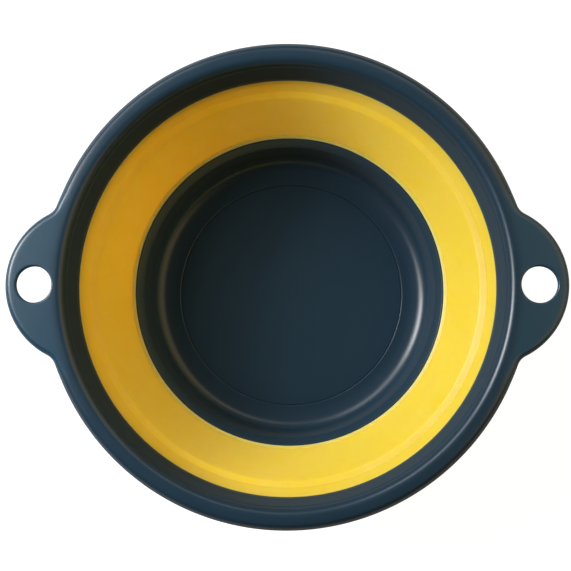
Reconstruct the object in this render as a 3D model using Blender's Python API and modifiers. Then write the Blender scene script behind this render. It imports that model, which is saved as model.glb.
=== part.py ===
"""Collapsible camp washbasin: a base dish, a fold wall and a rim frame with two ears.

All three pieces are turned about the vertical axis and moulded onto each other by a tongue in a groove.
Run it with blender --background --python part.py, or from Blender's text editor. Lengths are in metres,
+Z is up, the ears lie along X, and the origin is on the table under the middle of the basin.
"""

import math

import bmesh
import bpy
from mathutils import Matrix, Vector

# Heights of the three bands, from the table up
BASE_HEIGHT = 0.046
FOLD_HEIGHT = 0.044
COLLAR_HEIGHT = 0.0310

# Rim frame: widths run inwards from the outer edge, drops run down from the brow's sharp corner
RIM_RADIUS = 0.160
FLANGE_WIDTH = 0.0136
FLANGE_FALL = 0.0029
BROW_ROUND = 0.0055
COLLAR_TAPER = 0.0064
RIM_WALL = 0.0025
LIP_ROUND = 0.0040
LIP_DEPTH = 0.0120

# Ears and their hanging holes
EAR_REACH = 0.025
EAR_RADIUS = 0.052
EAR_FILLET = 0.010
EAR_THICKNESS = 0.0060
EAR_DROP = 0.0028
EAR_EDGE_ROUND = 0.0025
EAR_ROOT_WIDTH = 0.0070
EAR_SINK = 0.0005
HOLE_RADIUS = 0.012
HOLE_INSET = 0.0195

# Fold wall: a steep strip, a stepped crease, the web that turns over, and a ledge at its foot
STRIP_RUN = 0.0055
STRIP_DROP = 0.0092
STEP_RUN = 0.0045
STEP_DROP = 0.0020
WEB_RUN = 0.0199
LEDGE_RUN = 0.0022
LEDGE_RISE = 0.0010
FOLD_WALL = 0.0020
CREASE_ROUND = 0.0012

# Joints between the pieces: a tongue on the hard piece, in a groove in the soft one
JOINT_GAP = 0.0003
TONGUE_LENGTH = 0.0040
TONGUE_THICKNESS = 0.0011
BEAD_LEG = 0.0012

# Base dish
BASE_FLANGE_WIDTH = 0.0059
BASE_FLANGE_FALL = 0.0020
BASE_MOUTH_ROUND = 0.0015
BASE_TAPER = 0.0019
BASE_CORNER_ROUND = 0.0085
TOE_WIDTH = 0.0154
TOE_RISE = 0.0022
TOE_ROUND = 0.030
BASE_WALL = 0.0025
FOOT_HEIGHT = 0.0020
FOOT_WIDTH = 0.0030
FOOT_INSET = 0.0178
GROOVE_INSET = 0.0190
GROOVE_WIDTH = 0.0012
GROOVE_DEPTH = 0.0005

# Fineness of the turned and rounded shapes
TURN_STEPS = 64
ARC_SAG = 0.0001
EAR_ARC_STEP = math.radians(6)
HOLE_SIDES = 36
EDGE_RESOLUTION = 1
FILLET_LIMIT_SHARE = 0.45
MERGE_DISTANCE = 0.00001
CUT_OVERRUN = 0.005

# Radii that the sizes above lead to, from the outside in
BROW_RADIUS = RIM_RADIUS - FLANGE_WIDTH
COLLAR_RADIUS = BROW_RADIUS - COLLAR_TAPER
CREASE_RADIUS = COLLAR_RADIUS - STRIP_RUN - STEP_RUN
BASE_EDGE_RADIUS = CREASE_RADIUS - WEB_RUN - LEDGE_RUN - JOINT_GAP
MOUTH_RADIUS = BASE_EDGE_RADIUS - BASE_FLANGE_WIDTH
FLOOR_CORNER_RADIUS = MOUTH_RADIUS - BASE_TAPER
FLOOR_HEIGHT = FOOT_HEIGHT + BASE_WALL

# Finishes: name, colour as seen (sRGB), roughness
NAVY_PLASTIC = ("navy_polypropylene", (0.150, 0.215, 0.270), 0.32)
YELLOW_RUBBER = ("yellow_thermoplastic_rubber", (0.930, 0.740, 0.200), 0.48)


def arc_points(before, here, after, fillet):
    """Points of an arc that rounds the corner here and is tangent to both of its sides."""
    to_before = (before - here).normalized()
    to_after = (after - here).normalized()
    half = to_before.angle(to_after) / 2
    shorter = min((before - here).length, (after - here).length)
    reach = min(fillet / math.tan(half), FILLET_LIMIT_SHARE * shorter)
    centre = here + (to_before + to_after).normalized() * reach / math.cos(half)
    spoke = here + to_before * reach - centre
    sweep = math.pi - 2 * half
    if to_before.cross(to_after) > 0:
        sweep = -sweep
    step = 2 * math.acos(1 - min(1, ARC_SAG / spoke.length))
    steps = max(1, math.ceil(abs(sweep) / step))
    points = []
    for i in range(steps + 1):
        turned_spoke = spoke.copy()
        turned_spoke.rotate(Matrix.Rotation(sweep * i / steps, 2))
        points.append(centre + turned_spoke)
    return points


def rounded(corners):
    """Points of an outline through corners (x, z) or (x, z, fillet), in order."""
    places = [Vector(corner[:2]) for corner in corners]
    points = []
    for i, corner in enumerate(corners):
        if len(corner) == 2:
            points.append(places[i])
        else:
            after = places[(i + 1) % len(places)]
            points += arc_points(places[i - 1], places[i], after, corner[2])
    return points


def parallel(face, wall):
    """The back of a wall: a face given from the top down, moved out by the wall, with mitred corners."""
    face = [Vector(point[:2]) for point in face]
    ways = [(b - a).normalized() for a, b in zip(face, face[1:])]
    sides = [Vector((-way.y, way.x)) for way in ways]
    sides = [sides[0]] + sides + [sides[-1]]
    moved = []
    for point, first, second in zip(face, sides, sides[1:]):
        middle = (first + second).normalized()
        moved.append(point + middle * wall / middle.dot(first))
    return moved


def at_height(a, b, z):
    """The point at height z on the line through a and b."""
    return a + (b - a) * (z - a.y) / (b.y - a.y)


def at_radius(a, b, x):
    """The point at radius x on the line through a and b."""
    return a + (b - a) * (x - a.x) / (b.x - a.x)


def rim_profile():
    """Section of the rim frame, from the foot of its collar (z 0) up to its brow."""
    top = COLLAR_HEIGHT
    edge = (RIM_RADIUS, top - FLANGE_FALL)
    brow = (BROW_RADIUS, top)
    foot = (COLLAR_RADIUS, 0)
    back = parallel([edge, brow, foot], RIM_WALL)
    lip_inner = RIM_RADIUS - RIM_WALL
    tongue_outer = COLLAR_RADIUS + RIM_WALL
    tongue_inner = tongue_outer - TONGUE_THICKNESS
    lip_edge_round = RIM_WALL * FILLET_LIMIT_SHARE
    return rounded(
        [
            (*edge, LIP_ROUND),
            (RIM_RADIUS, top - LIP_DEPTH, lip_edge_round),
            (lip_inner, top - LIP_DEPTH),
            tuple(at_radius(back[0], back[1], lip_inner)),
            (*back[1], BROW_ROUND - RIM_WALL),
            (tongue_outer, 0),
            (tongue_outer, -TONGUE_LENGTH),
            (tongue_inner, -TONGUE_LENGTH),
            (tongue_inner, 0),
            foot,
            (*brow, BROW_ROUND),
        ]
    )


def fold_profile():
    """Section of the fold wall, from the base dish's edge (z 0) up to the rim collar's foot."""
    top = FOLD_HEIGHT - JOINT_GAP
    head = (COLLAR_RADIUS, top)
    strip = (COLLAR_RADIUS - STRIP_RUN, FOLD_HEIGHT - STRIP_DROP)
    crease = (CREASE_RADIUS, FOLD_HEIGHT - STRIP_DROP - STEP_DROP)
    lip = (BASE_EDGE_RADIUS + JOINT_GAP, 0)
    ledge = (lip[0] + LEDGE_RUN, LEDGE_RISE)
    back = parallel([head, strip, crease, ledge], FOLD_WALL)

    upper_out = COLLAR_RADIUS + RIM_WALL + JOINT_GAP
    upper_in = upper_out - TONGUE_THICKNESS - 2 * JOINT_GAP
    upper_floor = FOLD_HEIGHT - TONGUE_LENGTH - JOINT_GAP
    upper_bead = upper_out + BEAD_LEG
    upper_under = upper_floor - BEAD_LEG

    lower_bottom = -BASE_WALL - JOINT_GAP
    lower_top = lower_bottom + TONGUE_THICKNESS + 2 * JOINT_GAP
    lower_end = BASE_EDGE_RADIUS + TONGUE_LENGTH + JOINT_GAP
    lower_bead = lower_end + BEAD_LEG
    lower_under = lower_bottom - BEAD_LEG
    return rounded(
        [
            head,
            (upper_in, top),
            (upper_in, upper_floor),
            (upper_out, upper_floor),
            (upper_out, top),
            (upper_bead, top),
            (upper_bead, upper_under),
            tuple(at_height(back[0], back[1], upper_under)),
            (*back[1], CREASE_ROUND + FOLD_WALL),
            (*back[2], CREASE_ROUND),
            tuple(at_radius(back[2], back[3], lower_bead)),
            (lower_bead, lower_under),
            (lip[0], lower_under),
            (lip[0], lower_bottom),
            (lower_end, lower_bottom),
            (lower_end, lower_top),
            (lip[0], lower_top),
            lip,
            ledge,
            (*crease, CREASE_ROUND + FOLD_WALL),
            (*strip, CREASE_ROUND),
        ]
    )


def base_profile():
    """Section of the base dish, from the middle of its floor over its edge to the middle underneath."""
    edge = (BASE_EDGE_RADIUS, BASE_HEIGHT)
    mouth = (MOUTH_RADIUS, BASE_HEIGHT - BASE_FLANGE_FALL)
    corner = (FLOOR_CORNER_RADIUS, FLOOR_HEIGHT + TOE_RISE)
    toe = (FLOOR_CORNER_RADIUS - TOE_WIDTH, FLOOR_HEIGHT)
    middle = (0, FLOOR_HEIGHT)
    back = parallel([edge, mouth, corner, toe, middle], BASE_WALL)
    tongue_end = BASE_EDGE_RADIUS + TONGUE_LENGTH
    tongue_bottom = BASE_HEIGHT - BASE_WALL
    tongue_top = tongue_bottom + TONGUE_THICKNESS
    groove_outer = FLOOR_CORNER_RADIUS - GROOVE_INSET
    groove_inner = groove_outer - GROOVE_WIDTH
    foot_outer = FLOOR_CORNER_RADIUS - FOOT_INSET
    foot_inner = foot_outer - FOOT_WIDTH
    return rounded(
        [
            middle,
            (groove_inner, FLOOR_HEIGHT),
            ((groove_inner + groove_outer) / 2, FLOOR_HEIGHT - GROOVE_DEPTH),
            (groove_outer, FLOOR_HEIGHT),
            (*toe, TOE_ROUND),
            (*corner, BASE_CORNER_ROUND),
            (*mouth, BASE_MOUTH_ROUND),
            edge,
            (BASE_EDGE_RADIUS, tongue_top),
            (tongue_end, tongue_top),
            (tongue_end, tongue_bottom),
            (BASE_EDGE_RADIUS, tongue_bottom),
            (*back[1], BASE_MOUTH_ROUND + BASE_WALL),
            (*back[2], BASE_CORNER_ROUND + BASE_WALL),
            (*back[3], TOE_ROUND + BASE_WALL),
            (foot_outer, FOOT_HEIGHT),
            (foot_outer, 0),
            (foot_inner, 0),
            (foot_inner, FOOT_HEIGHT),
            (0, FOOT_HEIGHT),
        ]
    )


def sweep_points(centre, radius, start, end):
    """Points of an arc about centre, from the angle start to the angle end."""
    steps = max(1, math.ceil(abs(end - start) / EAR_ARC_STEP))
    angles = [start + (end - start) * i / steps for i in range(steps + 1)]
    return [
        (centre[0] + radius * math.cos(angle), centre[1] + radius * math.sin(angle))
        for angle in angles
    ]


def ear_outline():
    """Outline of the ear on the +X side: a round tab, a hollow fillet on each side and a root in the flange."""
    tab = RIM_RADIUS + EAR_REACH - EAR_RADIUS
    rim = RIM_RADIUS - EAR_SINK
    to_fillet = rim + EAR_FILLET
    tab_to_fillet = EAR_RADIUS + EAR_FILLET
    fillet_x = (tab**2 + to_fillet**2 - tab_to_fillet**2) / (2 * tab)
    fillet_y = math.sqrt(to_fillet**2 - fillet_x**2)
    tab_angle = math.atan2(fillet_y, fillet_x - tab)
    rim_angle = math.atan2(fillet_y, fillet_x)
    left = sweep_points(
        (fillet_x, fillet_y), EAR_FILLET, tab_angle + math.pi, rim_angle + math.pi
    )
    right = [(x, -y) for x, y in reversed(left)]
    tip = sweep_points((tab, 0), EAR_RADIUS, -tab_angle, tab_angle)
    root = sweep_points((0, 0), RIM_RADIUS - EAR_ROOT_WIDTH, rim_angle, -rim_angle)
    return tip + left[1:] + root + right[:-1]


def plastic(name, seen_colour, roughness):
    """A Principled material; seen_colour is sRGB, and the shader takes it linear."""
    material = bpy.data.materials.new(name)
    material.use_nodes = True
    shader = material.node_tree.nodes["Principled BSDF"]
    linear = [((c + 0.055) / 1.055) ** 2.4 for c in seen_colour]
    shader.inputs["Base Color"].default_value = (*linear, 1)
    shader.inputs["Roughness"].default_value = roughness
    shader.inputs["Metallic"].default_value = 0
    material.diffuse_color = (*linear, 1)
    return material


def place(name, mesh, collection, axis, height, material=None):
    """A named object of this mesh, standing at a height on the basin's axis."""
    obj = bpy.data.objects.new(name, mesh)
    obj.location = (0, 0, height)
    obj.parent = axis
    collection.objects.link(obj)
    if material:
        mesh.materials.append(material)
    return obj


def turned(name, profile, collection, axis, height, material, closed=True):
    """A piece turned about the basin's axis from a profile that runs down its outer side."""
    last = len(profile) - 1
    edges = [(i, i + 1) for i in range(last)]
    if closed:
        edges.append((last, 0))
    mesh = bpy.data.meshes.new(name)
    mesh.from_pydata([(point.x, 0, point.y) for point in profile], edges, [])
    obj = place(name, mesh, collection, axis, height, material)
    screw = obj.modifiers.new("Turn", "SCREW")
    screw.axis = "Z"
    screw.angle = math.tau
    screw.steps = TURN_STEPS
    screw.render_steps = TURN_STEPS
    screw.use_merge_vertices = True
    screw.merge_threshold = MERGE_DISTANCE
    screw.use_smooth_shade = True
    return obj


def helper(obj, side):
    """Hides a shape that only joins or cuts, and turns it to its side of the basin."""
    obj.rotation_euler.z = 0 if side > 0 else math.pi
    obj.hide_render = True
    obj.display_type = "WIRE"
    return obj


def ear_blank(collection, axis, height, side):
    """The solid tab of one ear: its outline filled, extruded with rounded edges and made a mesh."""
    outline = ear_outline()
    edge_round = min(EAR_EDGE_ROUND, FILLET_LIMIT_SHARE * EAR_THICKNESS)
    curve = bpy.data.curves.new("ear_outline", "CURVE")
    curve.dimensions = "2D"
    curve.fill_mode = "BOTH"
    curve.extrude = EAR_THICKNESS / 2 - edge_round
    curve.bevel_depth = edge_round
    curve.bevel_resolution = EDGE_RESOLUTION
    curve.offset = -edge_round
    spline = curve.splines.new("POLY")
    spline.points.add(len(outline) - 1)
    for point, (x, y) in zip(spline.points, outline):
        point.co = (x, y, 0, 1)
    spline.use_cyclic_u = True
    guide = bpy.data.objects.new("ear_outline", curve)
    collection.objects.link(guide)
    graph = bpy.context.evaluated_depsgraph_get()
    mesh = bpy.data.meshes.new_from_object(guide.evaluated_get(graph))
    bpy.data.objects.remove(guide)
    welded = bmesh.new()
    welded.from_mesh(mesh)
    bmesh.ops.remove_doubles(welded, verts=welded.verts, dist=MERGE_DISTANCE)
    bmesh.ops.recalc_face_normals(welded, faces=welded.faces)
    welded.to_mesh(mesh)
    welded.free()
    middle = height + COLLAR_HEIGHT - EAR_DROP - EAR_THICKNESS / 2
    return helper(place("ear_blank", mesh, collection, axis, middle), side)


def hole_cutter(collection, axis, height, side):
    """The round bar that cuts one ear's hanging hole."""
    depth = EAR_THICKNESS + RIM_WALL + 2 * CUT_OVERRUN
    bar = bmesh.new()
    bmesh.ops.create_cone(
        bar,
        cap_ends=True,
        segments=HOLE_SIDES,
        radius1=HOLE_RADIUS,
        radius2=HOLE_RADIUS,
        depth=depth,
    )
    centre = RIM_RADIUS + EAR_REACH - HOLE_INSET
    bmesh.ops.translate(bar, verts=bar.verts, vec=(centre, 0, 0))
    mesh = bpy.data.meshes.new("hole_cutter")
    bar.to_mesh(mesh)
    bar.free()
    middle = height + COLLAR_HEIGHT - EAR_DROP - EAR_THICKNESS / 2
    return helper(place("hole_cutter", mesh, collection, axis, middle), side)


def boolean(obj, other, operation, solver):
    """Joins the other shape to the object, or cuts it away."""
    step = obj.modifiers.new(f"{operation.title()} {other.name}", "BOOLEAN")
    step.operation = operation
    step.object = other
    step.solver = solver


def even_shading(obj):
    """Keeps flat faces flat beside rounded edges."""
    normals = obj.modifiers.new("Even shading", "WEIGHTED_NORMAL")
    normals.keep_sharp = True


def base_dish(parts, axis, material):
    """The hard dish that stands on the table."""
    even_shading(turned("base_dish", base_profile(), parts, axis, 0, material, False))


def fold_wall(parts, axis, material):
    """The soft wall between the dish and the rim, which turns over when the basin is pushed flat."""
    even_shading(turned("fold_wall", fold_profile(), parts, axis, BASE_HEIGHT, material))


def rim_frame(parts, helpers, axis, material):
    """The hard rim with its two ears, whose origin is on the axis that it slides along."""
    seat = BASE_HEIGHT + FOLD_HEIGHT
    rim = turned("rim_frame", rim_profile(), parts, axis, seat, material)
    # The exact solver loses the ring where an ear's edge runs nearly along the lip, so ears join by the other
    for side in (1, -1):
        boolean(rim, ear_blank(helpers, axis, seat, side), "UNION", "MANIFOLD")
    for side in (1, -1):
        boolean(rim, hole_cutter(helpers, axis, seat, side), "DIFFERENCE", "EXACT")
    even_shading(rim)


def collection_named(name):
    """A new collection in the scene."""
    collection = bpy.data.collections.new(name)
    bpy.context.scene.collection.children.link(collection)
    return collection


def main():
    """Builds the basin in an empty scene."""
    for obj in list(bpy.data.objects):
        bpy.data.objects.remove(obj)
    parts = collection_named("collapsible_washbasin")
    helpers = collection_named("cutters")
    axis = bpy.data.objects.new("basin_axis", None)
    parts.objects.link(axis)
    navy = plastic(*NAVY_PLASTIC)
    yellow = plastic(*YELLOW_RUBBER)
    base_dish(parts, axis, navy)
    fold_wall(parts, axis, yellow)
    rim_frame(parts, helpers, axis, navy)


main()
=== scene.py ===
"""Looks of a collapsible camp washbasin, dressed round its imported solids.

Three mouldings are remade as fine surfaces in the places of their solids: the hard rim frame with its
two ears, the soft fold wall, and the hard base dish. Lengths are in metres, +Z is up, the ears lie along X
and the origin is on the table under the middle of the basin.
"""

import logging
import math
from collections.abc import Mapping, Sequence
from dataclasses import dataclass, field
from enum import Enum
from typing import Any

import bpy
import numpy as np
from mathutils import Matrix, Vector


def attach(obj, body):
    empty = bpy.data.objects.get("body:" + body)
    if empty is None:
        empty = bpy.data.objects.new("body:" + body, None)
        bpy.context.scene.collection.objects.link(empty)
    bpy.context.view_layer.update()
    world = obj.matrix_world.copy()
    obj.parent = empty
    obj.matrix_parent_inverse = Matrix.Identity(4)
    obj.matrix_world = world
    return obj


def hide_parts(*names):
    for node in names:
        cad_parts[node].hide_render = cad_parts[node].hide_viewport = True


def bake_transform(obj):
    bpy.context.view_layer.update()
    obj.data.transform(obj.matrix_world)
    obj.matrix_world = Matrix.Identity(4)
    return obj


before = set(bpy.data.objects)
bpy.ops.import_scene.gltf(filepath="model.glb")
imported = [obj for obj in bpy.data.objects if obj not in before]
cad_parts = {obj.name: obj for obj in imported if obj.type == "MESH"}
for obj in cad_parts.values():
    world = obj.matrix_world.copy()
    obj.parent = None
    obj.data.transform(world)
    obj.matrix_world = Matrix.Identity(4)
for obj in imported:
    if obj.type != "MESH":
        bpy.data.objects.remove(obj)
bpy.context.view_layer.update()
LOG = logging.getLogger("washbasin")

MM = 0.001
SHARP_ANGLE = math.radians(40)
WALL_UPRIGHT = 0.15
FLAT_UPRIGHT = 0.6


class Slot(Enum):
    """Material slots of the record that the pieces take their finish from."""

    NAVY = "navy_plastic"
    YELLOW = "yellow_rubber"


@dataclass(frozen=True)
class Corner:
    """A corner of a section: its radius and height in metres, and the fillet that rounds it."""

    radius: float
    height: float
    fillet: float = 0.0

    @property
    def place(self) -> np.ndarray:
        """Radius and height as one array."""
        return np.array((self.radius, self.height))

    def toward(self, other: "Corner", share: float, fillet: float) -> "Corner":
        """The corner that lies at a share of the way to another, with its own fillet."""
        at = self.place + (other.place - self.place) * share
        return Corner(float(at[0]), float(at[1]), fillet)


def unit(vector: np.ndarray) -> np.ndarray:
    """The vector at a length of one."""
    return vector / np.linalg.norm(vector)


def smooth(share: np.ndarray) -> np.ndarray:
    """Turns a share into one that leaves 0 and reaches 1 gently: 3 t squared less 2 t cubed."""
    held = np.clip(share, 0, 1)
    return held * held * (3 - 2 * held)


def fillet_points(before: np.ndarray, corner: Corner, after: np.ndarray, steps: int) -> np.ndarray:
    """Points of the arc that rounds a corner.

    The arc's centre lies on the corner's bisector, and its angle runs evenly from one tangent point to
    the other.

    Args:
        before: The place that the section comes from.
        corner: The corner, with its fillet.
        after: The place that the section goes to.
        steps: How many steps the arc has.

    Returns:
        The arc's points, one row of radius and height each.
    """
    here = corner.place
    back, ahead = unit(before - here), unit(after - here)
    half = math.acos(float(np.clip(back @ ahead, -1, 1))) / 2
    reach = corner.fillet / math.tan(half)
    centre = here + unit(back + ahead) * corner.fillet / math.sin(half)
    spoke = here + back * reach - centre
    sweep = math.pi - 2 * half
    if back[0] * ahead[1] - back[1] * ahead[0] > 0:
        sweep = -sweep
    turn = np.linspace(0, sweep, steps + 1)
    across = spoke[0] * np.cos(turn) - spoke[1] * np.sin(turn)
    along = spoke[0] * np.sin(turn) + spoke[1] * np.cos(turn)
    return centre + np.column_stack((across, along))


def section(corners: Sequence[Corner], steps: int, longest: float, closed: bool) -> np.ndarray:
    """A section through corners, with its arcs in fine steps and its straight runs cut into short ones.

    Args:
        corners: The corners in order.
        steps: Steps of each arc.
        longest: The longest step of a straight run.
        closed: Whether the last corner joins the first.

    Returns:
        The section's points, one row of radius and height each.
    """
    places = [corner.place for corner in corners]
    parts = [
        fillet_points(places[i - 1], corner, places[(i + 1) % len(places)], steps)
        if corner.fillet
        else corner.place[None]
        for i, corner in enumerate(corners)
    ]
    points = np.vstack(parts)
    ends = np.vstack((points[1:], points[:1])) if closed else points[1:]
    starts = points if closed else points[:-1]
    runs = []
    for start, end in zip(starts, ends):
        pieces = max(1, math.ceil(np.linalg.norm(end - start) / longest))
        runs.append(start + (end - start) * (np.arange(pieces) / pieces)[:, None])
    if not closed:
        runs.append(points[-1:])
    return np.vstack(runs)


def parallel(face: Sequence[Corner], wall: float) -> list[Corner]:
    """The back of a wall: its face moved out by the wall, with mitred corners and the face's fillets.

    Args:
        face: The face's corners, from the top down.
        wall: The wall's thickness.

    Returns:
        The back's corners in the same order. A fillet that the wall lies inside grows, and the other kind
        shrinks.
    """
    places = [corner.place for corner in face]
    ways = [unit(b - a) for a, b in zip(places, places[1:])]
    sides = [np.array((-way[1], way[0])) for way in ways]
    firsts, seconds = sides[:1] + sides, sides + sides[-1:]
    moved = []
    for corner, place, first, second in zip(face, places, firsts, seconds):
        middle = unit(first + second)
        at = place + middle * wall / (middle @ first)
        outer = first[0] * second[1] - first[1] * second[0] > 0
        fillet = corner.fillet + wall if outer else max(corner.fillet - wall, 0)
        moved.append(Corner(float(at[0]), float(at[1]), fillet if corner.fillet else 0))
    return moved


@dataclass
class Patchwork:
    """Points and quads gathered from several grids, sewn into one closed mesh."""

    points: list[np.ndarray] = field(default_factory=list)
    quads: list[np.ndarray] = field(default_factory=list)
    count: int = 0

    def add_points(self, grid: np.ndarray) -> np.ndarray:
        """Takes in a grid of points.

        Args:
            grid: Points, with the coordinate as the last axis.

        Returns:
            The points' numbers, in the grid's own shape.
        """
        flat = grid.reshape(-1, 3)
        numbers = np.arange(self.count, self.count + len(flat)).reshape(grid.shape[:-1])
        self.points.append(flat)
        self.count += len(flat)
        return numbers

    def add_quads(self, numbers: np.ndarray, skipped: np.ndarray | None = None) -> None:
        """Fills a grid of point numbers with quads.

        Args:
            numbers: Point numbers by row and column.
            skipped: Cells to leave open, as a grid of truths one smaller each way.
        """
        cells = np.stack((numbers[:-1, :-1], numbers[:-1, 1:], numbers[1:, 1:], numbers[1:, :-1]), axis=-1)
        self.quads.append(cells.reshape(-1, 4) if skipped is None else cells[~skipped])

    def to_object(self, name: str) -> bpy.types.Object:
        """Sews the quads into a smooth mesh whose faces point outwards.

        The enclosed volume is the sum of each face's corner product, and a negative one turns all faces
        round. A quad that meets a pole twice becomes a triangle.

        Args:
            name: The new object's name.

        Returns:
            The object, linked to the scene.
        """
        points, quads = np.vstack(self.points), np.vstack(self.quads)
        used, renamed = np.unique(quads, return_inverse=True)
        points, quads = points[used], renamed.reshape(quads.shape)
        a, b, c, d = (points[quads[:, k]] for k in range(4))
        volume = np.einsum("ij,ij->", a, np.cross(b, c)) + np.einsum("ij,ij->", a, np.cross(c, d))
        if volume < 0:
            quads = quads[:, ::-1]
        repeats = (quads == np.roll(quads, -1, axis=1)).any(axis=1)
        faces = quads[~repeats].tolist()
        faces += [list(dict.fromkeys(quad)) for quad in quads[repeats].tolist()]
        mesh = bpy.data.meshes.new(name)
        mesh.from_pydata(points.tolist(), [], faces)
        mesh.shade_smooth()
        mesh.set_sharp_from_angle(angle=SHARP_ANGLE)
        made = bpy.data.objects.new(name, mesh)
        bpy.context.scene.collection.objects.link(made)
        return made


def lift(plan: np.ndarray, height: np.ndarray | float) -> np.ndarray:
    """Points in space from points in the plane and their heights."""
    column = np.broadcast_to(np.asarray(height)[..., None], (*plan.shape[:-1], 1))
    return np.concatenate((plan, column), axis=-1)


def lathe(points: np.ndarray, columns: int, closed: bool) -> Patchwork:
    """Turns a section about Z: a point at radius r and angle a lies at r cos a, r sin a.

    Args:
        points: The section, one row of radius and height each. An end on the axis becomes a single point.
        columns: Steps of the full turn.
        closed: Whether the section's last point joins its first.

    Returns:
        The patchwork of the whole turned skin.
    """
    turn = np.arange(columns) * math.tau / columns
    radius, height = points[:, 0, None], points[:, 1, None]
    plan = np.stack((radius * np.cos(turn), radius * np.sin(turn)), axis=-1)
    work = Patchwork()
    numbers = work.add_points(lift(plan, height))
    numbers[points[:, 0] == 0] = numbers[points[:, 0] == 0][:, :1]
    rows = np.vstack((numbers, numbers[:1])) if closed else numbers
    work.add_quads(np.hstack((rows, rows[:, :1])))
    return work


def shares(steps: int) -> np.ndarray:
    """Even shares from the first step up to 1, as a column."""
    return (np.arange(1, steps + 1) / steps)[:, None]


def quarter_turn(steps: int, first: int = 1) -> np.ndarray:
    """Even angles up to a quarter turn, from the given step on, as a column."""
    return (np.arange(first, steps + 1) / steps * math.pi / 2)[:, None]


def around(numbers: np.ndarray) -> np.ndarray:
    """The border of a grid of point numbers, once round."""
    return np.concatenate((numbers[0, :-1], numbers[:-1, -1], numbers[-1, :0:-1], numbers[:0:-1, 0]))


def point_vectors(piece: bpy.types.Object, kind: str) -> np.ndarray:
    """Reads one vector of each point of a piece.

    Args:
        piece: The piece.
        kind: Blender's name for the vector: co for its place, or normal.

    Returns:
        The vectors, one row each.
    """
    vectors = np.empty(len(piece.data.vertices) * 3, np.float32)
    piece.data.vertices.foreach_get(kind, vectors)
    return vectors.reshape(-1, 3)


def mark_points(piece: bpy.types.Object, attribute: str, marks: np.ndarray) -> None:
    """Gives a piece a new attribute with one mark for each point."""
    made = piece.data.attributes.new(attribute, "FLOAT", "POINT")
    made.data.foreach_set("value", marks.astype(np.float32))


def mark_walls(piece: bpy.types.Object, attribute: str) -> None:
    """Marks how steep a piece is at each point: 0 where it lies flat, 1 on a wall.

    The mark is one less the smoothed height of the point's unit normal, between the height that still
    counts as a wall and the one that counts as flat.

    Args:
        piece: The piece that takes the mark.
        attribute: The name of its new attribute.
    """
    upright = np.abs(point_vectors(piece, "normal")[:, 2])
    flat = smooth((upright - WALL_UPRIGHT) / (FLAT_UPRIGHT - WALL_UPRIGHT))
    mark_points(piece, attribute, 1 - flat)


def linear(hex_colour: str) -> tuple[float, float, float, float]:
    """Turns an sRGB hex colour linear, by the standard's curve.

    Args:
        hex_colour: The colour, such as #1C3344.

    Returns:
        Red, green, blue and an alpha of 1.
    """
    seen = [int(hex_colour[i : i + 2], 16) / 255 for i in (1, 3, 5)]
    red, green, blue = (s / 12.92 if s <= 0.04045 else ((s + 0.055) / 1.055) ** 2.4 for s in seen)
    return red, green, blue, 1.0


def add_node(
    tree: bpy.types.NodeTree,
    kind: str,
    settings: Mapping[str, Any] | None = None,
    links: Mapping[str | int, bpy.types.NodeSocket] | None = None,
) -> bpy.types.Node:
    """Adds a node with its settings and links.

    Args:
        tree: The tree that takes the node.
        kind: Blender's name for the kind of node.
        settings: Values by property name or, where no property has the name, by input name.
        links: Outputs of other nodes, by the input's name or number here.

    Returns:
        The new node.
    """
    node = tree.nodes.new(kind)
    for name, value in (settings or {}).items():
        if hasattr(node, name):
            setattr(node, name, value)
        else:
            node.inputs[name].default_value = value
    for name, output in (links or {}).items():
        tree.links.new(output, node.inputs[name])
    return node


def mix_colours(
    tree: bpy.types.NodeTree,
    share: bpy.types.NodeSocket,
    first: bpy.types.NodeSocket | tuple[float, float, float, float],
    second: bpy.types.NodeSocket | tuple[float, float, float, float],
) -> bpy.types.NodeSocket:
    """Mixes two colours.

    Args:
        tree: The tree that takes the node.
        share: How much of the second colour there is.
        first: A colour or an output that gives one.
        second: The other colour or output.

    Returns:
        The output that gives the mixed colour.
    """
    # The Mix node's colours are its inputs 6 and 7 and its output 2.
    node = add_node(tree, "ShaderNodeMix", {"data_type": "RGBA"}, {0: share})
    for number, colour in zip((6, 7), (first, second)):
        if isinstance(colour, tuple):
            node.inputs[number].default_value = colour
        else:
            tree.links.new(colour, node.inputs[number])
    return node.outputs[2]


def mix_for_camera(
    tree: bpy.types.NodeTree, unseen: bpy.types.NodeSocket, seen: bpy.types.NodeSocket
) -> bpy.types.NodeSocket:
    """Shows the camera one shader and all other light another, for the floor and the room alone.

    Args:
        tree: The tree that takes the nodes.
        unseen: The shader that lights the basin.
        seen: The shader that the camera sees.

    Returns:
        The output that gives the mixed shader.
    """
    rays = add_node(tree, "ShaderNodeLightPath")
    links = {0: rays.outputs["Is Camera Ray"], 1: unseen, 2: seen}
    return add_node(tree, "ShaderNodeMixShader", {}, links).outputs["Shader"]


def blank_material(name: str) -> tuple[bpy.types.Material, bpy.types.NodeTree]:
    """Makes a material with an empty node tree.

    Args:
        name: The material's name.

    Returns:
        The material and its tree.
    """
    material = bpy.data.materials.new(name)
    material.use_nodes = True
    material.node_tree.nodes.clear()
    return material, material.node_tree


def roughened(
    tree: bpy.types.NodeTree, place: bpy.types.NodeSocket, size: float, depth: float, detail: float
) -> bpy.types.NodeSocket:
    """Roughens a surface with a fine noise.

    Args:
        tree: The tree that takes the nodes.
        place: The coordinates that the noise reads.
        size: How wide its grains are.
        depth: How deep they go.
        detail: How many finer layers they have.

    Returns:
        The output that gives the roughened normal.
    """
    settings = {"Scale": 1 / size, "Detail": detail}
    noise = add_node(tree, "ShaderNodeTexNoise", settings, {"Vector": place})
    settings = {"Strength": 1.0, "Distance": depth}
    return add_node(tree, "ShaderNodeBump", settings, {"Height": noise.outputs["Fac"]}).outputs["Normal"]


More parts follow.
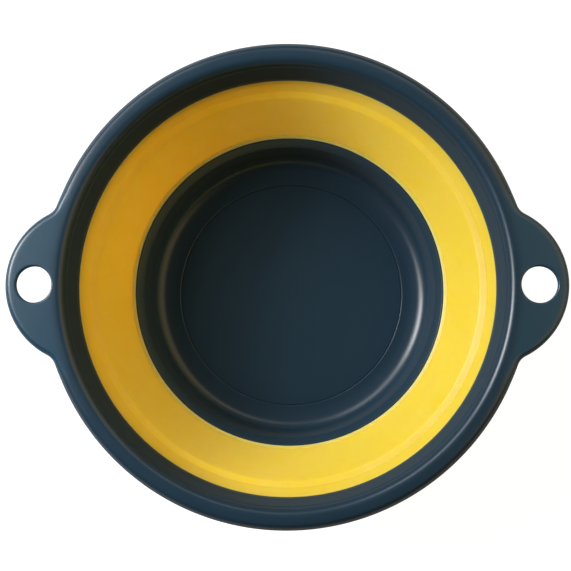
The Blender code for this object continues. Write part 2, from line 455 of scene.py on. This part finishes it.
@dataclass(frozen=True)
class MouldedPolypropylene:
    """Polypropylene, injection moulded: even colour, softly glossy where it lies flat, matt on walls."""

    name: str = "polypropylene_injection_moulded_navy"
    deep: str = "#1C3344"
    light: str = "#1F3748"
    cloud_size: float = 18 * MM
    peel_size: float = 2.4 * MM
    peel_depth: float = 0.006 * MM
    peel_detail: float = 1.0
    gloss: tuple[float, float] = (0.28, 0.32)
    wall_attribute: str = "wall_share"
    wall_roughness: float = 1.0
    ear_attribute: str = "ear_share"
    # Painted light: a paler tone laid on the ears in place of the extra light they catch.
    ear_painted_light_tone: str = "#1F4054"
    ior: float = 1.49

    def make(self) -> bpy.types.Material:
        """Builds the material.

        The colour drifts a little in clouds, as pigment does in flowing plastic, and the roughness drifts
        with it. The skin's peel, drawn wider than the mould leaves it so that it shows, breaks up what it
        mirrors. The mould's walls are etched, so they look matt. The ears are painted a paler tone, painted
        light that stands in for the extra light they catch. The piece's own attributes say how steep a
        point is and how far it lies out on an ear.

        Returns:
            The material.
        """
        material, tree = blank_material(self.name)
        place = add_node(tree, "ShaderNodeTexCoord").outputs["Object"]
        settings = {"Scale": 1 / self.cloud_size, "Detail": 3.0, "Roughness": 0.55}
        cloud = add_node(tree, "ShaderNodeTexNoise", settings, {"Vector": place})
        tint = mix_colours(tree, cloud.outputs["Fac"], linear(self.deep), linear(self.light))
        # Painted light: the ears are tinted paler to stand in for the extra light they catch.
        ear = add_node(tree, "ShaderNodeAttribute", {"attribute_name": self.ear_attribute})
        tint = mix_colours(tree, ear.outputs["Fac"], tint, linear(self.ear_painted_light_tone))
        settings = {"To Min": self.gloss[0], "To Max": self.gloss[1]}
        rough = add_node(tree, "ShaderNodeMapRange", settings, {"Value": cloud.outputs["Fac"]})
        steep = add_node(tree, "ShaderNodeAttribute", {"attribute_name": self.wall_attribute})
        etched = add_node(
            tree,
            "ShaderNodeMapRange",
            {"To Max": self.wall_roughness},
            {"Value": steep.outputs["Fac"], "To Min": rough.outputs["Result"]},
        )
        shader = add_node(
            tree,
            "ShaderNodeBsdfPrincipled",
            {"IOR": self.ior, "Metallic": 0.0},
            {
                "Base Color": tint,
                "Roughness": etched.outputs["Result"],
                "Normal": roughened(tree, place, self.peel_size, self.peel_depth, self.peel_detail),
            },
        )
        add_node(tree, "ShaderNodeOutputMaterial", {}, {"Surface": shader.outputs["BSDF"]})
        return material


@dataclass(frozen=True)
class MouldedRubber:
    """Thermoplastic rubber, moulded onto the hard pieces: warm yellow, satin, paler towards its two edges.
    """

    name: str = "thermoplastic_rubber_moulded_yellow"
    body: str = "#F9D050"
    warm: str = "#F3CA00"
    edge: str = "#EFD27A"
    edge_attribute: str = "edge_share"
    cloud_size: float = 14 * MM
    grain_size: float = 0.9 * MM
    grain_depth: float = 0.012 * MM
    grain_detail: float = 2.0
    roughness: float = 0.46
    ior: float = 1.50
    soft_share: float = 1.0
    soft_reach: float = 6 * MM
    soft_tones: tuple[float, float, float] = (1.0, 0.75, 0.1)
    bloom: float = 0.3

    def make(self) -> bpy.types.Material:
        """Builds the material.

        The piece's own attribute says how near an edge a point is, so the paler edge stays with the rubber
        as it folds. Light that runs through the rubber warms its shaded side, and a faint bloom softens it.
        The grain is drawn coarser than a mould leaves it, so that it shows.

        Returns:
            The material.
        """
        material, tree = blank_material(self.name)
        place = add_node(tree, "ShaderNodeTexCoord").outputs["Object"]
        near_edge = add_node(tree, "ShaderNodeAttribute", {"attribute_name": self.edge_attribute})
        settings = {"Scale": 1 / self.cloud_size, "Detail": 2.0}
        cloud = add_node(tree, "ShaderNodeTexNoise", settings, {"Vector": place})
        base = mix_colours(tree, cloud.outputs["Fac"], linear(self.body), linear(self.warm))
        tint = mix_colours(tree, near_edge.outputs["Fac"], base, linear(self.edge))
        shader = add_node(
            tree,
            "ShaderNodeBsdfPrincipled",
            {
                "IOR": self.ior,
                "Metallic": 0.0,
                "Roughness": self.roughness,
                "Subsurface Weight": self.soft_share,
                "Subsurface Radius": self.soft_tones,
                "Subsurface Scale": self.soft_reach,
                "Sheen Weight": self.bloom,
            },
            {
                "Base Color": tint,
                "Normal": roughened(tree, place, self.grain_size, self.grain_depth, self.grain_detail),
            },
        )
        add_node(tree, "ShaderNodeOutputMaterial", {}, {"Surface": shader.outputs["BSDF"]})
        return material


@dataclass(frozen=True)
class Plan:
    """The rim's outline seen from above, one row a column of the skin."""

    points: np.ndarray
    normals: np.ndarray

    @property
    def distance(self) -> np.ndarray:
        """Distance of each point from the basin's axis."""
        return np.linalg.norm(self.points, axis=-1)

    @property
    def spokes(self) -> np.ndarray:
        """The way from the axis to each point, at a length of one."""
        return self.points / self.distance[:, None]

    def inside(self, depth: float) -> np.ndarray:
        """The outline moved inwards by a depth."""
        return self.points - self.normals * depth


@dataclass
class RimFrame:
    """The hard rim: collar, brow, flange, rolled lip, two ears and their hanging holes in one moulding.

    A pair of lengths is a radius and a height. The seat is the height of the collar's foot, and an ear's
    root is where its lower face begins. The ears' span is a pair of angles from X.
    """

    seat: float = 90 * MM
    outer: float = 160 * MM
    collar: float = 140 * MM
    collar_foot: float = 0.3 * MM
    step_low: tuple[float, float] = (144.5 * MM, 111.5 * MM)
    step_high: tuple[float, float] = (144.95 * MM, 112.2 * MM)
    step_round: float = 0.25 * MM
    brow: tuple[float, float] = (146.3 * MM, 120.15 * MM)
    brow_round: float = 5.5 * MM
    crown_slope: float = 0.05
    crown_bend: float = 0.0032 / MM**2
    under_edge: float = 118.1 * MM
    under_brow: float = 121.0 * MM
    wall: float = 2.5 * MM
    edge_round: float = 4.0 * MM
    lip_bottom: float = 109 * MM
    lip_round: float = 1.0 * MM
    inner_round: float = 0.7 * MM
    tongue_length: float = 4 * MM
    tongue: float = 1.1 * MM
    tongue_round: float = 0.25 * MM
    ear_centre: float = 133 * MM
    ear_radius: float = 52 * MM
    ear_fillet: float = 10 * MM
    ear_slope: float = 0.035
    ear_bend: float = 4.0 * MM
    ear_bottom: float = 112.2 * MM
    ear_root: float = 151.4 * MM
    back_clearance: float = 2 * MM
    ear_blend: float = 5 * MM
    ear_reach: float = 15 * MM
    ear_span: tuple[float, float] = (math.radians(17), math.radians(24))
    hole_centre: float = 165.5 * MM
    hole_radius: float = 12 * MM
    hole_round: float = 1.0 * MM
    hole_half_angle: float = math.radians(6.4)
    columns: int = 640
    angles_a_column: int = 40
    plate_rows: int = 14
    ring_rows: int = 6
    brow_steps: int = 12
    edge_steps: int = 10
    back_steps: int = 5
    small_steps: int = 4
    collar_run: float = 6 * MM
    back_run: float = 8 * MM

    def outline_radius(self, angle: np.ndarray) -> np.ndarray:
        """Distance of the outline from the axis, by angle.

        Near X the outline is the ear's own circle, then a hollow fillet that is tangent to it and to the
        rim. A circle of radius q whose centre is c away, at an angle d to the side, is met at c cos d plus
        or minus the root of q squared less c sin d squared.

        Args:
            angle: Angles about the basin's axis.

        Returns:
            A distance for each angle.
        """
        folded = np.arctan2(np.abs(np.sin(angle)), np.abs(np.cos(angle)))
        rim_to_fillet = self.outer + self.ear_fillet
        ear_to_fillet = self.ear_radius + self.ear_fillet
        x = (self.ear_centre**2 + rim_to_fillet**2 - ear_to_fillet**2) / (2 * self.ear_centre)
        y = math.sqrt(rim_to_fillet**2 - x**2)
        rim_angle = math.atan2(y, x)
        ear_turn = math.atan2(y, x - self.ear_centre)
        meeting_x = self.ear_centre + self.ear_radius * math.cos(ear_turn)
        ear_angle = math.atan2(self.ear_radius * math.sin(ear_turn), meeting_x)
        across = self.ear_centre * np.sin(folded)
        ear = self.ear_centre * np.cos(folded) + np.sqrt(np.maximum(self.ear_radius**2 - across**2, 0))
        aside = rim_to_fillet * np.sin(folded - rim_angle)
        fillet = rim_to_fillet * np.cos(folded - rim_angle)
        fillet = fillet - np.sqrt(np.maximum(self.ear_fillet**2 - aside**2, 0))
        return np.where(folded < ear_angle, ear, np.where(folded < rim_angle, fillet, self.outer))

    def plan(self) -> Plan:
        """Lays the outline's columns at even steps of its own length.

        The length is summed over fine steps of the angle, and each column's angle is found between them.

        Returns:
            The outline, with its outward normals.
        """
        fine = np.linspace(0, math.tau, self.angles_a_column * self.columns + 1)
        radius = self.outline_radius(fine)
        dense = np.column_stack((radius * np.cos(fine), radius * np.sin(fine)))
        length = np.concatenate(([0], np.cumsum(np.linalg.norm(np.diff(dense, axis=0), axis=1))))
        angle = np.interp(np.arange(self.columns) * length[-1] / self.columns, length, fine)
        radius = self.outline_radius(angle)
        points = np.column_stack((radius * np.cos(angle), radius * np.sin(angle)))
        along = np.roll(points, -1, axis=0) - np.roll(points, 1, axis=0)
        normals = np.column_stack((along[:, 1], -along[:, 0]))
        return Plan(points, normals / np.linalg.norm(normals, axis=1, keepdims=True))

    def face_points(self) -> np.ndarray:
        """Section of the face: up the collar, over its fine step and round the brow.

        Returns:
            The section's points, up to where the crown starts.
        """
        brow = Corner(*self.brow, self.brow_round)
        outward = brow.place + np.array((1, -self.crown_slope)) * MM
        lower, upper = (Corner(*place, self.step_round) for place in (self.step_low, self.step_high))
        arc = fillet_points(upper.place, brow, outward, self.brow_steps)
        up_to_arc = [Corner(self.collar, self.seat), lower, upper, Corner(*arc[0].tolist())]
        return np.vstack((section(up_to_arc, self.small_steps, self.collar_run, False)[:-1], arc))

    def top_height(self, radius: np.ndarray, share: np.ndarray | float) -> np.ndarray:
        """Height of the upper face: a crown that falls ever faster, or an ear that slopes on gently.

        Both fall by the crown's slope times the distance run. The crown falls further by its bend times
        that distance cubed, as far as the round rim goes. The ear falls further by its own slope times the
        distance, less the ear's bend times the natural logarithm of one plus the distance over that bend,
        so that it leaves the brow without a crease.

        Args:
            radius: Distances from the basin's axis.
            share: How far each point belongs to an ear.

        Returns:
            A height for each distance.
        """
        start, height = self.face_points()[-1]
        run = np.maximum(radius - start, 0)
        crown = self.crown_bend * np.minimum(run, self.outer - start) ** 3
        ear = self.ear_slope * (run - self.ear_bend * np.log1p(run / self.ear_bend))
        return height - self.crown_slope * run - crown * (1 - share) - ear * share

    def ear_share(self, plan: Plan) -> np.ndarray:
        """How far each column belongs to an ear: 1 near X, 0 from where the round rim is free.

        Args:
            plan: The rim's outline.

        Returns:
            A share for each column.
        """
        full, none = self.ear_span
        folded = np.arctan2(np.abs(plan.points[:, 1]), np.abs(plan.points[:, 0]))
        return smooth((none - folded) / (none - full))

    def lower_faces(self, plan: Plan) -> tuple[np.ndarray, np.ndarray]:
        """Where the lower face lies, column by column.

        Args:
            plan: The rim's outline.

        Returns:
            The lower face's height and the distance of its inner edge.
        """
        share = self.ear_share(plan)
        bottom = self.lip_bottom + (self.ear_bottom - self.lip_bottom) * share
        lip_inner = self.outer - self.wall
        return bottom, lip_inner + (self.ear_root - lip_inner) * share

    def upper_rows(self, plan: Plan) -> list[np.ndarray]:
        """Rows from the collar's foot over the brow, out over the plate and round its rolled edge.

        Args:
            plan: The rim's outline.

        Returns:
            The face up to the crown, the plate, and the edge, each as rows of points.
        """
        face = self.face_points()
        inner = face[-1, 0] * plan.spokes
        edge = plan.inside(self.edge_round)
        plate = inner + (edge - inner) * shares(self.plate_rows)[..., None]
        turn = quarter_turn(self.edge_steps)
        curl = edge + (plan.points - edge) * np.sin(turn)[..., None]
        share = self.ear_share(plan)
        high, low = (self.top_height(np.linalg.norm(xy, axis=-1), share) for xy in (edge, plan.points))
        fall = (low - high) * np.sin(turn) - self.edge_round * (1 - np.cos(turn))
        return [
            lift(face[:, 0, None, None] * plan.spokes, face[:, 1, None]),
            lift(plate, self.top_height(np.linalg.norm(plate, axis=-1), share)),
            lift(curl, high + fall),
        ]

    def lower_rows(self, plan: Plan) -> list[np.ndarray]:
        """Rows from the outer wall's foot in under the lip or ear and up its inner side.

        Args:
            plan: The rim's outline.

        Returns:
            The rounded foot, the plate's lower face, and the foot and head of the inner side, each as rows
            of points.
        """
        bottom, inner = self.lower_faces(plan)
        turn = quarter_turn(self.back_steps, 0)
        foot = plan.points - plan.normals * self.lip_round * (1 - np.cos(turn))[..., None]
        target = (inner + self.inner_round)[:, None] * plan.spokes
        begin = plan.inside(self.lip_round)
        plate = begin + (target - begin) * shares(self.plate_rows)[..., None]
        small = quarter_turn(self.small_steps)
        inward = inner + self.inner_round * (1 - np.sin(small))
        edge, brow = (corner.place for corner in self.back_corners()[:2])
        ceiling = brow[1] + (edge[1] - brow[1]) / (edge[0] - brow[0]) * (inner - brow[0])
        head = quarter_turn(self.small_steps, 0)
        upward = inner - self.inner_round * (1 - np.cos(head))
        return [
            lift(foot, bottom + self.lip_round * (1 - np.sin(turn))),
            lift(plate, bottom),
            lift(inward[..., None] * plan.spokes, bottom + self.inner_round * (1 - np.cos(small))),
            lift(upward[..., None] * plan.spokes, ceiling - self.inner_round * (1 - np.sin(head))),
        ]

    def back_corners(self) -> list[Corner]:
        """Corners of the back of flange, brow and collar.

        Returns:
            The corners, from the outer edge down.
        """
        face = [
            Corner(self.outer, self.under_edge),
            Corner(self.brow[0], self.under_brow, self.brow_round),
            Corner(self.collar, self.seat),
        ]
        return parallel(face, self.wall)

    def back_rows(self, plan: Plan) -> np.ndarray:
        """Rows from the flange's back round the brow's back, down the collar's and round the tongue.

        Args:
            plan: The rim's outline.

        Returns:
            The rows of points, inside the ears' roots.
        """
        tongue_outer = self.collar + self.wall
        tongue_inner = tongue_outer - self.tongue
        tongue_foot = self.seat - self.tongue_length
        edge, brow, _ = self.back_corners()
        tail = [
            edge,
            brow,
            Corner(tongue_outer, self.seat),
            Corner(tongue_outer, tongue_foot, self.tongue_round),
            Corner(tongue_inner, tongue_foot, self.tongue_round),
            Corner(tongue_inner, self.seat),
            Corner(self.collar + self.collar_foot, self.seat),
        ]
        points = section(tail, self.back_steps, self.back_run, False)[1:]
        points = points[points[:, 0] < self.ear_root - self.back_clearance]
        return lift(points[:, 0, None, None] * plan.spokes, points[:, 1, None])

    def build_surface(self) -> Patchwork:
        """Sews the whole skin, in rows from the collar's foot over the brow, round the lip and back.

        Returns:
            The skin, with both hanging holes cut through it.
        """
        plan = self.plan()
        upper, lower = self.upper_rows(plan), self.lower_rows(plan)
        rows = np.vstack((*upper, *lower, self.back_rows(plan)))
        first_top = len(upper[0]) - 1
        first_bottom = sum(len(part) for part in upper) + len(lower[0])
        work = Patchwork()
        numbers = work.add_points(rows)
        sewn = np.vstack((numbers, numbers[:1]))
        sewn = np.hstack((sewn, sewn[:, :1]))
        skipped = np.zeros((len(sewn) - 1, self.columns), bool)
        half = round(self.hole_half_angle / math.tau * self.columns)
        top_rows = np.arange(first_top, first_top + self.plate_rows)
        bottom_rows = np.arange(first_bottom, first_bottom + self.plate_rows)
        for middle, side in ((0, 1), (self.columns // 2, -1)):
            columns = np.arange(middle - half, middle + half + 1) % self.columns
            skipped[np.ix_(top_rows[:-1], columns[:-1])] = True
            skipped[np.ix_(bottom_rows[:-1], columns[:-1])] = True
            above = numbers[np.ix_(top_rows, columns)]
            below = numbers[np.ix_(bottom_rows[::-1], columns)]
            self.cut_hole(work, above, below, side)
        work.add_quads(sewn, skipped)
        return work

    def cut_hole(self, work: Patchwork, above: np.ndarray, below: np.ndarray, side: int) -> None:
        """Lines the gap left in the plate with rings that close in on the hole and run through it.

        A ring's point goes straight from the gap's border to the hole's circle, both at the same turn.

        Args:
            work: The skin that takes the rings.
            above: Point numbers of the gap in the upper face, from the inside outwards.
            below: Point numbers of the gap in the lower face, from the inside outwards.
            side: 1 for the ear at +X, -1 for the other.
        """
        points = np.vstack(work.points)
        upper, lower = around(above), around(below)
        centre = np.array((self.hole_centre * side, 0.0))
        aside = points[upper, :2] - centre
        spokes = aside / np.linalg.norm(aside, axis=1, keepdims=True)
        mouth = centre + spokes * (self.hole_radius + self.hole_round)
        share = shares(self.ring_rows)[..., None]
        top_plan, bottom_plan = (points[ring, :2] * (1 - share) + mouth * share for ring in (upper, lower))
        bend = quarter_turn(self.small_steps)
        lip = centre + spokes * (self.hole_radius + self.hole_round * (1 - np.sin(bend)))[..., None]
        fall = self.hole_round * (1 - np.cos(bend))
        top_height = self.top_height(np.linalg.norm(top_plan, axis=-1), 1)
        rings = (
            lift(top_plan, top_height),
            lift(lip, top_height[-1] - fall),
            lift(lip, self.ear_bottom + fall)[::-1],
            lift(bottom_plan, self.ear_bottom)[::-1],
        )
        made = work.add_points(np.concatenate(rings))
        chain = np.vstack((upper[None], made, lower[None]))
        work.add_quads(np.hstack((chain, chain[:, :1])))

    def mark_ears(self, piece: bpy.types.Object, attribute: str) -> None:
        """Marks how far each point of the frame lies out on an ear: 0 on the crown, 1 past the root.

        The mark is the product of two smoothed distances: out past the root, and in from the ear's reach.

        Args:
            piece: The frame's object.
            attribute: The name of its new attribute.
        """
        x, y, _ = point_vectors(piece, "co").T
        out = smooth((np.hypot(x, y) - self.ear_root) / self.ear_blend)
        away = np.hypot(np.abs(x) - self.ear_centre, y) - self.ear_radius
        near = smooth((self.ear_reach - away) / self.ear_fillet)
        mark_points(piece, attribute, out * near)

    def build(
        self, finish: bpy.types.Material, wall_attribute: str, ear_attribute: str
    ) -> bpy.types.Object:
        """Makes the rim frame and sets it in its solid's place.

        Args:
            finish: The material of the moulding.
            wall_attribute: The name of the attribute that says how steep a face is.
            ear_attribute: The name of the attribute that marks the ears, which the finish paints paler as
                painted light.

        Returns:
            The finished object.
        """
        made = self.build_surface().to_object("rim_frame_moulding")
        mark_walls(made, wall_attribute)
        # The ear mark lets the finish paint the ears paler, as painted light.
        self.mark_ears(made, ear_attribute)
        made.data.materials.append(finish)
        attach(made, "rim")
        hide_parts("rim_frame")
        return made


@dataclass
class FoldWall:
    """The soft wall between rim and dish: a strip, a stepped crease, a web that turns over, and a ledge.

    A pair of lengths is a radius and a height. The head is the wall's edge at the rim, and the foot is its
    edge at the dish.
    """

    rim_seat: float = 90 * MM
    dish_seat: float = 46 * MM
    head: float = 140 * MM
    head_round: float = 0.35 * MM
    strip: tuple[float, float] = (134.5 * MM, 80.8 * MM)
    crease: tuple[float, float] = (130 * MM, 78.8 * MM)
    ledge: tuple[float, float] = (110.1 * MM, 47 * MM)
    foot: float = 107.9 * MM
    foot_round: float = 0.3 * MM
    wall: float = 2.0 * MM
    crease_round: float = 1.2 * MM
    gap: float = 0.3 * MM
    tongue: float = 1.1 * MM
    tongue_length: float = 4 * MM
    hard_wall: float = 2.5 * MM
    bead: float = 1.2 * MM
    bead_round: float = 0.5 * MM
    edge_band: float = 1.0 * MM
    fold_end: float = 88 * MM
    columns: int = 440
    arc_steps: int = 6
    longest_run: float = 1.2 * MM

    def corners(self) -> list[Corner]:
        """Corners of the closed section.

        Returns:
            The corners, from the head outwards, down the back and up the face.
        """
        top = self.rim_seat - self.gap
        face = [
            Corner(self.head, top),
            Corner(*self.strip, self.crease_round),
            Corner(*self.crease, self.crease_round + self.wall),
            Corner(*self.ledge),
        ]
        back = parallel(face, self.wall)
        upper_out = self.head + self.hard_wall + self.gap
        upper_in = upper_out - self.tongue - 2 * self.gap
        upper_floor = self.rim_seat - self.tongue_length - self.gap
        upper_bead = upper_out + self.bead
        upper_under = upper_floor - self.bead
        lower_bottom = self.dish_seat - self.hard_wall - self.gap
        lower_top = lower_bottom + self.tongue + 2 * self.gap
        lower_end = self.foot + self.tongue_length
        lower_bead = lower_end + self.bead
        lower_under = lower_bottom - self.bead
        upper_share = (upper_under - back[0].height) / (back[1].height - back[0].height)
        lower_share = (lower_bead - back[2].radius) / (back[3].radius - back[2].radius)
        return [
            Corner(self.head, top, self.head_round),
            Corner(upper_in, top),
            Corner(upper_in, upper_floor),
            Corner(upper_out, upper_floor),
            Corner(upper_out, top),
            Corner(upper_bead, top, self.bead_round),
            Corner(upper_bead, upper_under, self.bead_round),
            back[0].toward(back[1], upper_share, self.bead_round),
            Corner(back[1].radius, back[1].height, self.crease_round + self.wall),
            Corner(back[2].radius, back[2].height, self.crease_round),
            back[2].toward(back[3], lower_share, self.bead_round),
            Corner(lower_bead, lower_under, self.bead_round),
            Corner(self.foot, lower_under, self.foot_round),
            Corner(self.foot, lower_bottom),
            Corner(lower_end, lower_bottom),
            Corner(lower_end, lower_top),
            Corner(self.foot, lower_top),
            Corner(self.foot, self.dish_seat, self.foot_round),
            Corner(*self.ledge, self.bead_round),
            Corner(*self.crease, self.crease_round + self.wall),
            Corner(*self.strip, self.crease_round),
        ]

    def build(self, finish: bpy.types.Material, edge_attribute: str) -> bpy.types.Object:
        """Makes the wall and marks its two edges for the finish.

        Args:
            finish: The material of the rubber.
            edge_attribute: The name of the attribute that says how near an edge a point is.

        Returns:
            The finished object.
        """
        points = section(self.corners(), self.arc_steps, self.longest_run, True)
        made = lathe(points, self.columns, True).to_object("fold_wall_moulding")
        height = point_vectors(made, "co")[:, 2]
        away = np.minimum(np.abs(height - self.rim_seat), np.abs(height - self.dish_seat))
        mark_points(made, edge_attribute, 1 - smooth(away / self.edge_band))
        made.data.materials.append(finish)
        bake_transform(made)
        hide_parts("fold_wall")
        return made


@dataclass
class BaseDish:
    """The hard dish: a sloping mouth, a steep wall, a rounded floor corner and a fine ring in its floor.

    A pair of lengths is a radius and a height. The toe is where the floor starts to rise to its corner.
    """

    edge: tuple[float, float] = (107.6 * MM, 46 * MM)
    edge_round: float = 0.4 * MM
    mouth: tuple[float, float] = (102.3 * MM, 39.8 * MM)
    corner: tuple[float, float] = (99.7 * MM, 6.7 * MM)
    toe: float = 85.2 * MM
    floor: float = 4.5 * MM
    wall: float = 2.5 * MM
    mouth_round: float = 1.5 * MM
    corner_round: float = 11.5 * MM
    toe_round: float = 40 * MM
    tongue: float = 1.1 * MM
    tongue_length: float = 4 * MM
    groove_outer: float = 80.8 * MM
    groove_width: float = 1.2 * MM
    groove_depth: float = 0.5 * MM
    groove_round: float = 0.2 * MM
    foot_outer: float = 82 * MM
    foot_width: float = 3 * MM
    foot_height: float = 2 * MM
    foot_round: float = 0.5 * MM
    foot_root_round: float = 0.3 * MM
    columns: int = 400
    arc_steps: int = 10
    longest_run: float = 8 * MM

    def corners(self) -> list[Corner]:
        """Corners of the open section.

        Returns:
            The corners, from the middle of the floor over the edge to the middle underneath.
        """
        face = [
            Corner(*self.edge),
            Corner(*self.mouth),
            Corner(*self.corner),
            Corner(self.toe, self.floor),
            Corner(0, self.floor),
        ]
        back = parallel(face, self.wall)
        groove_inner = self.groove_outer - self.groove_width
        groove_middle = (groove_inner + self.groove_outer) / 2
        foot_inner = self.foot_outer - self.foot_width
        tongue_end = self.edge[0] + self.tongue_length
        tongue_bottom = self.edge[1] - self.wall
        return [
            Corner(0, self.floor),
            Corner(groove_inner, self.floor, self.groove_round),
            Corner(groove_middle, self.floor - self.groove_depth, self.groove_round),
            Corner(self.groove_outer, self.floor, self.groove_round),
            Corner(self.toe, self.floor, self.toe_round),
            Corner(*self.corner, self.corner_round),
            Corner(*self.mouth, self.mouth_round),
            Corner(*self.edge, self.edge_round),
            Corner(self.edge[0], tongue_bottom + self.tongue),
            Corner(tongue_end, tongue_bottom + self.tongue),
            Corner(tongue_end, tongue_bottom),
            Corner(self.edge[0], tongue_bottom),
            Corner(back[1].radius, back[1].height, self.mouth_round + self.wall),
            Corner(back[2].radius, back[2].height, self.corner_round + self.wall),
            Corner(back[3].radius, back[3].height, self.toe_round + self.wall),
            Corner(self.foot_outer, self.foot_height, self.foot_root_round),
            Corner(self.foot_outer, 0, self.foot_round),
            Corner(foot_inner, 0, self.foot_round),
            Corner(foot_inner, self.foot_height, self.foot_root_round),
            Corner(0, self.foot_height),
        ]

    def build(self, finish: bpy.types.Material, wall_attribute: str) -> bpy.types.Object:
        """Makes the dish and sets it in its solid's place.

        Args:
            finish: The material of the moulding.
            wall_attribute: The name of the attribute that says how steep a face is.

        Returns:
            The finished object.
        """
        points = section(self.corners(), self.arc_steps, self.longest_run, False)
        made = lathe(points, self.columns, False).to_object("base_dish_moulding")
        mark_walls(made, wall_attribute)
        made.data.materials.append(finish)
        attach(made, "base")
        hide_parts("base_dish")
        return made


@dataclass(frozen=True)
class Softbox:
    """A rectangular studio lamp, aimed at the basin from a direction in degrees and a distance."""

    name: str
    azimuth: float
    elevation: float
    size: tuple[float, float]
    watts: float
    tint: str = "#FFFFFF"
    distance: float = 1.5

    def make(self, target: Vector) -> bpy.types.Object:
        """Makes the lamp.

        Args:
            target: The point that it is aimed at.

        Returns:
            The lamp's object.
        """
        lamp = bpy.data.lights.new(self.name, "AREA")
        lamp.shape = "RECTANGLE"
        lamp.size, lamp.size_y = self.size
        lamp.energy = self.watts
        lamp.color = linear(self.tint)[:3]
        made = bpy.data.objects.new(self.name, lamp)
        turn, rise = math.radians(self.azimuth), math.radians(self.elevation)
        away = Vector((math.cos(turn) * math.cos(rise), math.sin(turn) * math.cos(rise), math.sin(rise)))
        made.location = target + away * self.distance
        made.rotation_euler = away.to_track_quat("Z", "Y").to_euler()
        bpy.context.scene.collection.objects.link(made)
        return made


@dataclass
class Studio:
    """The white floor, the lamps and the camera that looks down into the basin."""

    target: tuple[float, float, float] = (0.0, 0.0, 0.09)
    camera_place: tuple[float, float, float] = (36.7 * MM, -64.3 * MM, 1099.6 * MM)
    aim: tuple[float, float, float] = (0.3 * MM, -0.9 * MM, 120 * MM)
    focal_pixels: float = 1508.0
    roll: float = math.radians(0.15)
    picture_pixels: float = 571.0
    sensor: float = 36.0
    clip: tuple[float, float] = (0.05, 20.0)
    white: str = "#FFFFFF"
    floor_half: float = 3.0
    floor_drop: float = 0.2 * MM
    floor_paint: str = "#D8D8D8"
    floor_seen: str = "#8C8C8C"
    floor_glow: float = 0.95
    room_tint: str = "#F4F6FA"
    room_strength: float = 0.05
    lamps: tuple[Softbox, ...] = (
        Softbox("key_softbox", 163, 32, (0.48, 0.48), 17.6),
        Softbox("upper_softbox", 167, 46, (0.7, 0.5), 8.5),
        Softbox("side_softbox", 126, 36, (0.6, 0.6), 4.5),
        Softbox("back_softbox", 78, 46, (0.6, 0.5), 1.3),
        Softbox("warm_fill", 12, 36, (2.2, 1.6), 13.0, "#FFDC9E"),
    )

    def light(self) -> None:
        """Sets up the lamps and the dim room, which looks white to the camera alone."""
        for lamp in self.lamps:
            lamp.make(Vector(self.target))
        world = bpy.data.worlds.new("studio_room")
        bpy.context.scene.world = world
        world.use_nodes = True
        tree = world.node_tree
        tree.nodes.clear()
        tint = linear(self.room_tint)
        room = add_node(tree, "ShaderNodeBackground", {"Color": tint, "Strength": self.room_strength})
        white = add_node(tree, "ShaderNodeBackground", {"Color": linear(self.white), "Strength": 1.0})
        mixed = mix_for_camera(tree, room.outputs["Background"], white.outputs["Background"])
        add_node(tree, "ShaderNodeOutputWorld", {}, {"Surface": mixed})

    def lay_floor(self) -> None:
        """Lays a white floor that keeps the basin's shadow and looks white to the camera."""
        half, low = self.floor_half, -self.floor_drop
        mesh = bpy.data.meshes.new("floor")
        corners = [(-half, -half, low), (half, -half, low), (half, half, low), (-half, half, low)]
        mesh.from_pydata(corners, [], [(0, 1, 2, 3)])
        floor = bpy.data.objects.new("floor", mesh)
        bpy.context.scene.collection.objects.link(floor)
        material, tree = blank_material("studio_floor_painted_white")
        paint = add_node(tree, "ShaderNodeBsdfDiffuse", {"Color": linear(self.floor_paint)})
        faint = add_node(tree, "ShaderNodeBsdfDiffuse", {"Color": linear(self.floor_seen)})
        glow_settings = {"Color": linear(self.white), "Strength": self.floor_glow}
        glow = add_node(tree, "ShaderNodeEmission", glow_settings)
        links = {0: faint.outputs["BSDF"], 1: glow.outputs["Emission"]}
        seen = add_node(tree, "ShaderNodeAddShader", {}, links)
        mixed = mix_for_camera(tree, paint.outputs["BSDF"], seen.outputs["Shader"])
        add_node(tree, "ShaderNodeOutputMaterial", {}, {"Surface": mixed})
        mesh.materials.append(material)

    def set_camera(self) -> None:
        """Places the camera over the basin, a little to the front and right of its axis."""
        data = bpy.data.cameras.new("photo_camera")
        data.sensor_width = self.sensor
        data.lens = self.sensor * self.focal_pixels / self.picture_pixels
        data.clip_start, data.clip_end = self.clip
        camera = bpy.data.objects.new("photo_camera", data)
        place = Vector(self.camera_place)
        camera.location = place
        back = (place - Vector(self.aim)).normalized()
        right = Vector((-math.sin(self.roll), math.cos(self.roll), 0)).cross(back).normalized()
        camera.rotation_euler = Matrix((right, back.cross(right), back)).transposed().to_euler()
        bpy.context.scene.collection.objects.link(camera)
        bpy.context.scene.camera = camera

    def build(self) -> None:
        """Sets up the whole studio."""
        self.light()
        self.lay_floor()
        self.set_camera()
        bpy.context.scene.view_settings.view_transform = "Standard"


def main() -> None:
    """Builds the basin piece by piece, then the studio round it."""
    logging.basicConfig(level=logging.INFO, format="%(message)s")
    plastic = MouldedPolypropylene()
    navy = plastic.make()
    rubber = MouldedRubber()
    yellow = rubber.make()
    pieces = [
        BaseDish().build(navy, plastic.wall_attribute),
        FoldWall().build(yellow, rubber.edge_attribute),
        RimFrame().build(navy, plastic.wall_attribute, plastic.ear_attribute),
    ]
    for piece in pieces:
        LOG.info("%s: %d faces", piece.name, len(piece.data.polygons))
    Studio().build()


if __name__ == "__main__":
    main()
